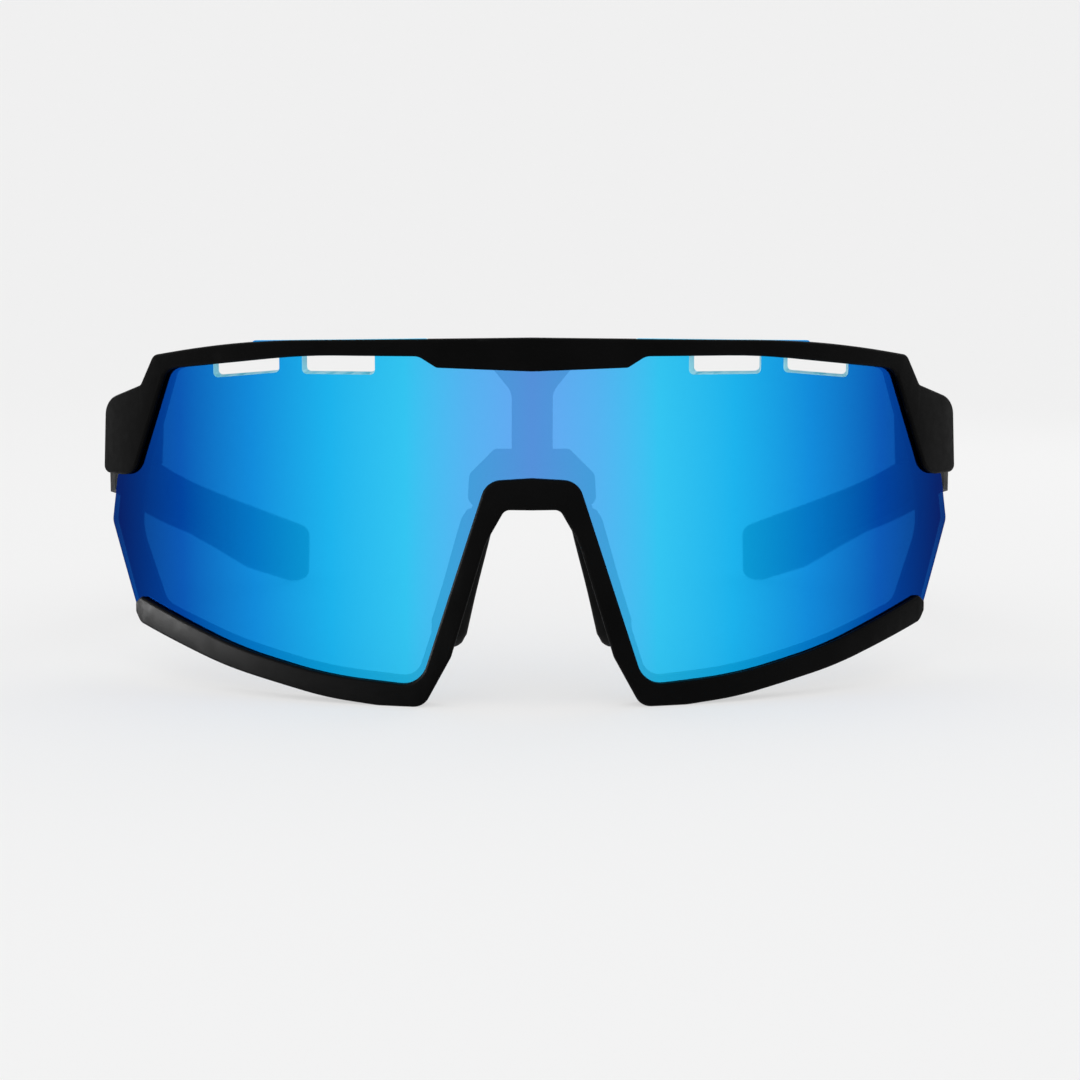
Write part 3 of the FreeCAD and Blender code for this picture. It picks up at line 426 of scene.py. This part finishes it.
def basis(origin, across, along, up):
    """Matrix that takes local coordinates to the row frame."""
    matrix = Matrix((across, along, up)).transposed().to_4x4()
    matrix.translation = origin
    return matrix


def hinge_matrix():
    """Frame of the left hinge: X outward, Y back along the temple, Z along the pin."""
    joint = joints["temple_left_fold"]
    up = Vector(joint["axis"]).normalized()
    across = Vector((1, 0, 0))
    return basis(Vector(joint["pos_m"]), across, up.cross(across), up)


def local_edges(name, matrix):
    """Edges of a node as pairs of points in a local frame."""
    data = nodes[name].data
    inverse = matrix.inverted()
    points = [inverse @ vertex.co for vertex in data.vertices]
    return [(points[edge.vertices[0]], points[edge.vertices[1]]) for edge in data.edges]


def section_limits(edges, station):
    """Lowest and highest X and Z of a solid where it crosses Y = station."""
    found = []
    for first, last in edges:
        if (first.y - station) * (last.y - station) < 0:
            found.append(first.lerp(last, (station - first.y) / (last.y - first.y)))
    across = [point.x for point in found]
    up = [point.z for point in found]
    return min(across), max(across), min(up), max(up)


def rounded_section(limits, radius, per_side, per_corner):
    """Points round a rounded rectangle, counter-clockwise from its right side."""
    low_x, high_x, low_z, high_z = limits
    radius = min(radius, 0.499 * (high_x - low_x), 0.499 * (high_z - low_z))
    corners = ((high_x - radius, high_z - radius, 0), (low_x + radius, high_z - radius, 90),
               (low_x + radius, low_z + radius, 180), (high_x - radius, low_z + radius, 270))
    points = []
    for index, (x, z, start) in enumerate(corners):
        for step in range(per_corner + 1):
            angle = math.radians(start + 90 * step / per_corner)
            points.append((x + radius * math.cos(angle), z + radius * math.sin(angle)))
        next_x, next_z, next_start = corners[(index + 1) % 4]
        turn = math.radians(next_start)
        begin = Vector(points[-1])
        end = Vector((next_x + radius * math.cos(turn), next_z + radius * math.sin(turn)))
        for step in range(1, per_side):
            points.append(tuple(begin.lerp(end, step / per_side)))
    return points


def stations(start, end, step, margin):
    """Stations along a solid, packed towards both rounded ends."""
    places = []
    count = int((end - start) / step)
    for index in range(count + 1):
        places.append(start + margin + (end - start - 2 * margin) * index / count)
    for edge, way in ((start, 1), (end, -1)):
        places += [edge + way * margin * share for share in (0.02, 0.08, 0.18, 0.34, 0.55, 0.78)]
    return sorted(places)


def skin(mesh, rings):
    """Quads between neighbouring rings of vertices."""
    for back, ahead in zip(rings, rings[1:]):
        for index in range(len(back)):
            after = (index + 1) % len(back)
            mesh.faces.new((back[index], ahead[index], ahead[after], back[after]))


def loft(edges, places, radius, relief, per_side=12, per_corner=6):
    """Closed skin through rounded sections of a solid, with a relief that draws points in."""
    mesh = bmesh.new()
    rings = []
    for place in places:
        limits = section_limits(edges, place)
        middle = (limits[0] + limits[1]) / 2
        ring = []
        for x, z in rounded_section(limits, radius, per_side, per_corner):
            ring.append(mesh.verts.new((relief(x, place, z, middle), place, z)))
        rings.append(ring)
    skin(mesh, rings)
    mesh.faces.new(rings[0])
    mesh.faces.new(rings[-1][::-1])
    bmesh.ops.recalc_face_normals(mesh, faces=mesh.faces)
    return mesh


def both_sides(mesh, matrix, name, material, body, node):
    """A left piece from a mesh in a local frame, and its mirror image on the right."""
    mesh.transform(matrix)
    other = mesh.copy()
    other.transform(Matrix.Scale(-1, 4, Vector((1, 0, 0))))
    bmesh.ops.reverse_faces(other, faces=other.faces)
    pieces = []
    for side, half in (("left", mesh), ("right", other)):
        pieces.append(finish_piece("%s_%s" % (name, side), half, (material,),
                                   "%s_%s" % (body, side), ("%s_%s" % (node, side),)))
    return pieces


def wave(value, pitch):
    """Smooth ripple between 0 and 1."""
    return 0.5 - 0.5 * math.cos(2 * math.pi * value / pitch)


def fade(value, start, end, soft):
    """1 between start and end, falling to 0 over a soft width outside them."""
    share = min((value - start) / soft + 1, (end - value) / soft + 1)
    return max(0.0, min(1.0, share))


RIB_PITCH = 2.4 * MM
RIB_DEPTH = 0.28 * MM
RIB_SLANT = 0.45
COLLAR_DEPTH = 0.22 * MM


def tip_relief(x, y, z, middle):
    """Slanting ribs on both flat sides of a temple tip, and a groove behind its collar."""
    ribs = wave(y + RIB_SLANT * z, RIB_PITCH) ** 2 * fade(y, 72 * MM, 101 * MM, 3 * MM)
    ribs *= fade(z, -14.6 * MM, -7.2 * MM, 1.2 * MM)
    groove = fade(y, 64.2 * MM, 64.8 * MM, 0.5 * MM)
    drawn = max(RIB_DEPTH * ribs, COLLAR_DEPTH * groove)
    return x - math.copysign(drawn, x - middle)


def temple_tips():
    """Rubber sleeves of both temples, ribbed on their flat sides."""
    matrix = hinge_matrix()
    edges = local_edges("temple_tip_left", matrix)
    ends = [point.y for edge in edges for point in edge]
    places = stations(min(ends), max(ends), 0.45 * MM, 1.4 * MM)
    mesh = loft(edges, places, 1.7 * MM, tip_relief)
    both_sides(mesh, matrix, "tip_sleeve", RUBBER, "temple", "temple_tip")


GRIP_PITCH = 1.5 * MM
GRIP_DEPTH = 0.16 * MM


def grip_relief(x, y, z, middle):
    """Fine slanting ribs on the inner face of the grip."""
    if x > middle:
        return x
    return x + GRIP_DEPTH * wave(y - 0.8 * z, GRIP_PITCH)


def temple_grips():
    """Rubber strips let into the inner faces of both arms."""
    matrix = hinge_matrix()
    edges = local_edges("temple_grip_left", matrix)
    ends = [point.y for edge in edges for point in edge]
    places = stations(min(ends), max(ends), 0.25 * MM, 0.5 * MM)
    mesh = loft(edges, places, 0.35 * MM, grip_relief, 16, 4)
    both_sides(mesh, matrix, "grip_strip", RUBBER, "temple", "temple_grip")


# ---------------------------------------------------------------- nose pads

# Side outline of a pad in its own plane, in mm: across, along, radius of the corner.
PAD_OUTLINE = ((3.4, -3.2, 2.6), (-3.2, -3.2, 2.6), (-4.8, -26.0, 3.4), (4.4, -26.0, 3.6))
PAD_LEAN = math.radians(15.4)
PAD_SPLAY = math.radians(28)
PAD_ROOT = 6.6 * MM
PAD_PITCH = 1.9 * MM
PAD_RIB = 0.14 * MM


def pad_matrix():
    """Frame of the left pad: X across its leaf, Y out of it and away from the nose, Z up."""
    lean = Matrix.Rotation(-PAD_LEAN, 3, "Y")
    across = lean @ Vector((math.sin(PAD_SPLAY), math.cos(PAD_SPLAY), 0))
    up = lean @ Vector((0, 0, 1))
    origin = Vector(joints["nose_pad_left_spread"]["pos_m"]) + Vector((0, PAD_ROOT, 0))
    return basis(origin, across, up.cross(across), up)


def rounded_outline(corners, steps):
    """Points round a polygon in metres, its corners (in mm) rounded."""
    points = []
    count = len(corners)
    for index, (x, z, radius) in enumerate(corners):
        corner = Vector((x, z))
        back = (Vector(corners[index - 1][:2]) - corner).normalized()
        ahead = (Vector(corners[(index + 1) % count][:2]) - corner).normalized()
        half = back.angle(ahead) / 2
        centre = corner + (back + ahead).normalized() * (radius / math.sin(half))
        start = corner + back * (radius / math.tan(half)) - centre
        end = corner + ahead * (radius / math.tan(half)) - centre
        turn = start.angle_signed(end)
        for step in range(steps + 1):
            spun = start.copy()
            spun.rotate(Matrix.Rotation(-turn * step / steps, 2))
            points.append((centre + spun) * MM)
        after = corners[(index + 1) % count]
        reach = Vector(after[:2]) - corner
        for step in range(1, steps):
            along = corner + ahead * (radius / math.tan(half))
            points.append((along + (reach - ahead * (radius + after[2])) * step / steps) * MM)
    return points


PAD_FLAT = 0.3 * MM
PAD_ROUND = 1.4 * MM
PAD_CORNER_STEPS = 8
PAD_ROUND_STEPS = 8
PAD_FACE_RINGS = 17


def inset(outline, distance):
    """Outline drawn in by a distance along its normals."""
    points = []
    count = len(outline)
    for index, point in enumerate(outline):
        run = (outline[(index + 1) % count] - outline[index - 1]).normalized()
        points.append(point + Vector((-run.y, run.x)) * distance)
    return points


def pad_profile(steps):
    """Rounded edge of the leaf, front to back: (how far in, height)."""
    profile = []
    for step in range(steps + 1):
        turn = math.pi / 2 * step / steps
        profile.append((PAD_ROUND * (1 - math.cos(turn)), PAD_FLAT + PAD_ROUND * math.sin(turn)))
    return [(drawn, -height) for drawn, height in reversed(profile)] + profile


def pad_outline():
    """Counter-clockwise outline of a pad and the middle of its points."""
    outline = rounded_outline(PAD_OUTLINE, PAD_CORNER_STEPS)
    if sum(a.cross(b) for a, b in zip(outline, outline[1:] + outline[:1])) < 0:
        outline.reverse()
    return outline, sum(outline, Vector((0, 0))) / len(outline)


def pad_rings():
    """Rings over a pad from the middle of one broad face round to the other: (spot, height)."""
    outline, middle = pad_outline()
    profile = pad_profile(PAD_ROUND_STEPS)
    full = inset(outline, profile[0][0])
    shares = [ring / (PAD_FACE_RINGS + 1) for ring in range(1, PAD_FACE_RINGS + 1)]
    first, last = profile[0][1], profile[-1][1]
    rings = [[(middle.lerp(point, share), first) for point in full] for share in shares]
    rings += [[(point, height) for point in inset(outline, drawn)] for drawn, height in profile]
    rings += [[(middle.lerp(point, share), last) for point in full]
              for share in reversed(shares)]
    return rings


def ribbed(spot, height):
    """Point of a pad, drawn in by the ribs on its broad faces."""
    broad = fade(abs(height), PAD_FLAT + 0.8 * PAD_ROUND, 1, 0.4 * PAD_ROUND)
    rib = PAD_RIB * wave(spot.y, PAD_PITCH) * broad
    return spot.x, height - math.copysign(rib, height), spot.y


def close_ring(mesh, loop):
    """Fan from a ring to the mean of its points."""
    hub = mesh.verts.new(sum((vertex.co for vertex in loop), Vector()) / len(loop))
    for index in range(len(loop)):
        mesh.faces.new((loop[index], loop[(index + 1) % len(loop)], hub))


def nose_pads():
    """Soft pads: leaves with full rounded edges, finely ribbed on both broad faces."""
    mesh = bmesh.new()
    loops = []
    for ring in pad_rings():
        loops.append([mesh.verts.new(ribbed(spot, height)) for spot, height in ring])
    skin(mesh, loops)
    for loop in (loops[0], loops[-1]):
        close_ring(mesh, loop)
    bmesh.ops.recalc_face_normals(mesh, faces=mesh.faces)
    pads = both_sides(mesh, pad_matrix(), "pad_leaf", RUBBER, "nose_pad",
                      "nose_pad")


lens_shield()
temple_tips()
temple_grips()
nose_pads()
# Bevels: (node, width, sharpest angle in degrees that stays as it is).
SOFTENED = (("upper_frame", 0.2 * MM, 40), ("lower_frame", 0.2 * MM, 40),
            ("nose_bridge", 0.25 * MM, 40), ("temple_arm_left", 0.6 * MM, 35),
            ("temple_arm_right", 0.6 * MM, 35))
for name, width, angle in SOFTENED:
    soften(nodes[name], width, angle)


# ---------------------------------------------------------------- stage, light, camera

FLOOR_REACH = 2.2
FLOOR_BEND = 0.9
FLOOR_RISE = 1.4
FLOOR_TURNS = 96
FLOOR_STEPS = 14


def bowl_profile():
    """Profile of the floor and its rim: (radius, height) in metres."""
    profile = [(0.4, 0.0), (FLOOR_REACH, 0.0)]
    for step in range(1, FLOOR_STEPS + 1):
        angle = math.pi / 2 * step / FLOOR_STEPS
        profile.append((FLOOR_REACH + FLOOR_BEND * math.sin(angle),
                        FLOOR_BEND - FLOOR_BEND * math.cos(angle)))
    profile.append((FLOOR_REACH + FLOOR_BEND, FLOOR_BEND + FLOOR_RISE))
    return profile


def pale_bowl():
    """Wide round floor whose rim turns up into a backdrop on every side."""
    mesh = bmesh.new()
    rings = []
    for radius, height in bowl_profile():
        ring = []
        for turn in range(FLOOR_TURNS):
            angle = 2 * math.pi * turn / FLOOR_TURNS
            ring.append(mesh.verts.new((radius * math.cos(angle), radius * math.sin(angle),
                                        height)))
        rings.append(ring)
    for inner, outer in zip(rings, rings[1:]):
        for turn in range(FLOOR_TURNS):
            after = (turn + 1) % FLOOR_TURNS
            mesh.faces.new((inner[turn], outer[turn], outer[after], inner[after]))
    mesh.faces.new(rings[0])
    data = bpy.data.meshes.new("floor")
    mesh.to_mesh(data)
    mesh.free()
    for polygon in data.polygons:
        polygon.use_smooth = True
    floor = bpy.data.objects.new("floor", data)
    bpy.context.scene.collection.objects.link(floor)
    material, tree, shader = new_material("floor_pale")
    shader.inputs["Base Color"].default_value = (0.35, 0.35, 0.35, 1)
    shader.inputs["Roughness"].default_value = 1.0
    shader.inputs["Specular IOR Level"].default_value = 0.0
    shader.inputs["Emission Color"].default_value = (1, 1, 1, 1)
    shader.inputs["Emission Strength"].default_value = 0.565
    data.materials.append(material)


OBJECT_MIDDLE = Vector((0, -0.02, 0.03))


def softbox(name, azimuth, height, distance, size, power, target=OBJECT_MIDDLE):
    """Area light round the glasses: azimuth 0 is ahead of the lens, 90 on its +X side."""
    turn = math.radians(azimuth)
    place = Vector((distance * math.sin(turn), -distance * math.cos(turn), height))
    light = bpy.data.lights.new(name, "AREA")
    light.shape = "RECTANGLE"
    light.size, light.size_y = size
    light.energy = power
    lamp = bpy.data.objects.new(name, light)
    lamp.location = place
    lamp.rotation_euler = (target - place).to_track_quat("-Z", "Y").to_euler()
    bpy.context.scene.collection.objects.link(lamp)
    return lamp


def studio():
    """Even white surround, soft lights above, ahead and behind, and one low on the left.

    The low one lights the lower frame only, so that the lens doesn't mirror it.
    """
    world = bpy.data.worlds.new("studio")
    world.use_nodes = True
    surround = world.node_tree.nodes["Background"]
    surround.inputs["Color"].default_value = (1, 1, 1, 1)
    surround.inputs["Strength"].default_value = 0.88
    bpy.context.scene.world = world
    softbox("key_top", -25, 0.75, 0.55, (0.7, 0.35), 0.25)
    softbox("rear_right", 140, 0.45, 0.6, (0.4, 0.2), 0.35)
    softbox("floor_front", 0, 0.7, 1.1, (1.6, 1.0), 0.8, Vector((0, -1.1, 0)))
    low = softbox("low_left", -88, 0.02, 0.34, (0.26, 0.08), 0.6, Vector((-0.07, -0.02, -0.03)))
    low.data.spread = math.radians(50)
    lit = bpy.data.collections.new("lit_low")
    lit.objects.link(nodes["lower_frame"])
    low.light_linking.receiver_collection = lit


def camera():
    """Camera in front of the lens, a touch to one side and looking slightly down."""
    data = bpy.data.cameras.new("camera")
    data.lens = 70.33
    data.sensor_width = 36.0
    item = bpy.data.objects.new("camera", data)
    item.location = (-2.9 * MM, LENS_LOW.y - 327.9 * MM, 63.5 * MM)
    item.rotation_euler = (math.radians(90 - 6.4), 0.0, math.radians(-0.716))
    bpy.context.scene.collection.objects.link(item)
    bpy.context.scene.camera = item


pale_bowl()
studio()
camera()
bpy.context.scene.view_settings.view_transform = "Standard"
